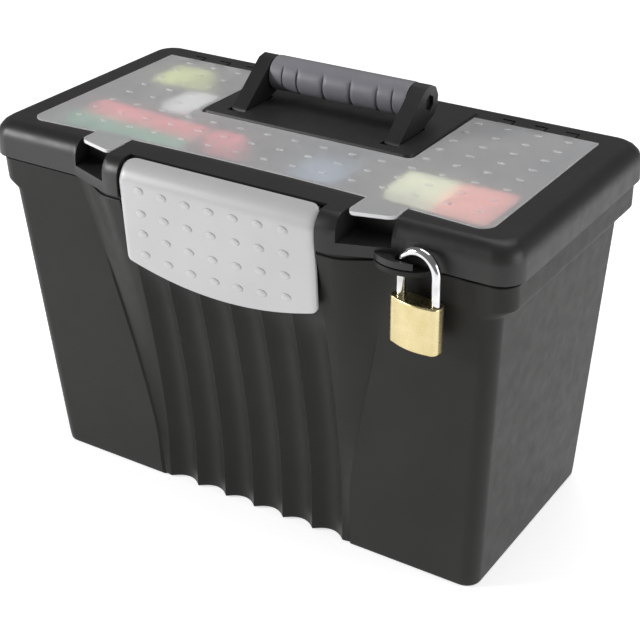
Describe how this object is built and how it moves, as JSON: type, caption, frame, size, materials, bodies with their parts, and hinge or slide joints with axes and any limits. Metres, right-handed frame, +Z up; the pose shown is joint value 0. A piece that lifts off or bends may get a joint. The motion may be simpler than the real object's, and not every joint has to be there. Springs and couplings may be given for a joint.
{
  "type": "portable storage caddy",
  "caption": "Tapered storage box with a hinged organiser lid, clear U-shaped cover, fold-down carrying handle, wide front latch and a hasp with a brass padlock.",
  "frame": {"origin": "centre of the bin's flat underside, level with the surface it stands on", "axes": "+Z up, +X along the length to the right as seen from the latch, -Y towards the latch"},
  "size_m": [0.438, 0.244, 0.3183],
  "materials": {
    "charcoal_plastic": "satin moulded plastic, fine texture",
    "black_plastic": "satin black plastic",
    "clear_plastic": "translucent, raised oval bumps",
    "silver_plastic": "satin silver-grey, raised oval bumps",
    "grip_plastic": "soft grey grip, ringed by grooves",
    "steel": "polished steel",
    "brass": "brushed brass"
  },
  "bodies": {
    "bin": {"bin_shell": "charcoal_plastic"},
    "lid": {"lid_frame": "charcoal_plastic", "lid_hinge_pin_left": "steel", "lid_hinge_pin_right": "steel", "organiser_tray": "black_plastic", "front_divider_left": "black_plastic", "front_divider_right": "black_plastic", "corner_divider_left": "black_plastic", "corner_divider_right": "black_plastic", "arm_divider_left": "black_plastic", "arm_divider_right": "black_plastic", "cover_hinge_pin_left": "steel", "cover_hinge_pin_right": "steel", "latch_pin_left": "steel", "latch_pin_right": "steel", "handle_pin_left": "steel", "handle_pin_right": "steel"},
    "cover": {"organiser_cover": "clear_plastic"},
    "latch": {"latch_plate": "silver_plastic", "latch_carrier": "black_plastic"},
    "handle": {"handle_bail": "black_plastic", "handle_grip": "grip_plastic"},
    "padlock": {"padlock_body": "brass"},
    "shackle": {"padlock_shackle": "steel"},
    "lock_plug": {"padlock_plug": "brass"}
  },
  "joints": [
    {"name": "lid_hinge", "type": "hinge", "parent": "bin", "child": "lid", "pos_m": [0, 0.1135, 0.2585], "axis": [-1, 0, 0], "range_deg": [0, 105]},
    {"name": "cover_hinge", "type": "hinge", "parent": "lid", "child": "cover", "pos_m": [0, 0.0865, 0.2837], "axis": [-1, 0, 0], "range_deg": [0, 110]},
    {"name": "latch_hinge", "type": "hinge", "parent": "lid", "child": "latch", "pos_m": [0, -0.1145, 0.2809], "axis": [-1, 0, 0], "range_deg": [0, 80]},
    {"name": "handle_hinge", "type": "hinge", "parent": "lid", "child": "handle", "pos_m": [0, 0.006, 0.284], "axis": [1, 0, 0], "range_deg": [0, 62]},
    {"name": "padlock_swing", "type": "hinge", "parent": "bin", "child": "padlock", "pos_m": [0.1415, -0.115, 0.2225], "axis": [0, 0, 1], "range_deg": [-8, 8]},
    {"name": "shackle_slide", "type": "slide", "parent": "padlock", "child": "shackle", "axis": [0, 0, 1], "range_m": [0, 0.008]},
    {"name": "plug_turn", "type": "hinge", "parent": "padlock", "child": "lock_plug", "pos_m": [0.15535, -0.11707, 0.2075], "axis": [0, 0, 1], "range_deg": [0, 90]}
  ]
}
